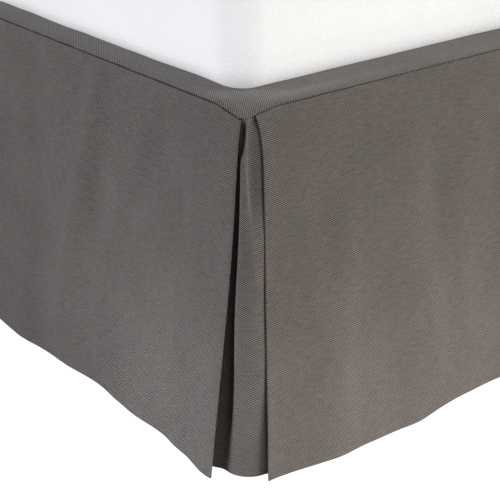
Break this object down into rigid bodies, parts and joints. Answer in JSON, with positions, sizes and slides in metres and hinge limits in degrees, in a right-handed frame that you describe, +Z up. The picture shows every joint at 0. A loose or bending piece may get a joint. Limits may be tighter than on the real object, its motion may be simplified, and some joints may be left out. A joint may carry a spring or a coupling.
{
  "type": "bed skirt on a single bed",
  "caption": "Tailored grey-brown fabric bed skirt with split foot corners, hanging round a plain bed base on legs under its mattress.",
  "frame": {"origin": "centre of the bed's footprint, on the floor that its legs stand on", "axes": "+Z up, -Y out of the foot end, +X out of the long side on the right when seen from the foot end"},
  "size_m": [1.0522, 1.929, 0.5839],
  "materials": {
    "skirt_cloth": "matte grey-brown twill",
    "base_cloth": "matte plain weave",
    "mattress_cloth": "matte white knit",
    "leg_wood": "satin"
  },
  "bodies": {
    "root": {"deck": "skirt_cloth", "foot_panel": "skirt_cloth", "side_panel_right": "skirt_cloth", "side_panel_left": "skirt_cloth", "corner_underlay_right": "skirt_cloth", "corner_underlay_left": "skirt_cloth", "bed_base": "base_cloth", "bed_leg_1": "leg_wood", "bed_leg_2": "leg_wood", "bed_leg_3": "leg_wood", "bed_leg_4": "leg_wood", "mattress": "mattress_cloth"}
  },
  "joints": []
}
